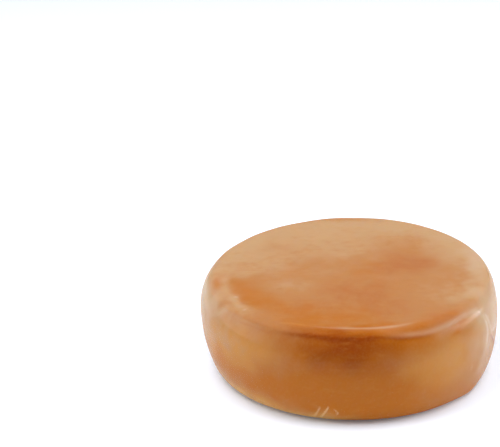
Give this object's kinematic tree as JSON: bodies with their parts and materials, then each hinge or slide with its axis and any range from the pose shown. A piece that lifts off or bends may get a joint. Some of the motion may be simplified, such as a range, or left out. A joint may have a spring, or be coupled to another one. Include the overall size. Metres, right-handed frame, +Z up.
{
  "type": "smoked suluguni",
  "caption": "Whole low round wheel of smoked stretched-curd cheese with an amber, smoke-stained rind, a rounded shoulder and a flat foot, in clear skin-tight film.",
  "frame": {"origin": "on the floor, under the middle of the wheel's outline", "axes": "+Z up through the wheel's top face, -Y towards the side that the picture shows, +X to the picture's right"},
  "size_m": [0.1104, 0.1096, 0.0363],
  "materials": {
    "smoked_rind": "satin",
    "clear_film": "gloss"
  },
  "bodies": {
    "root": {"suluguni_wheel": "smoked_rind"}
  },
  "joints": []
}
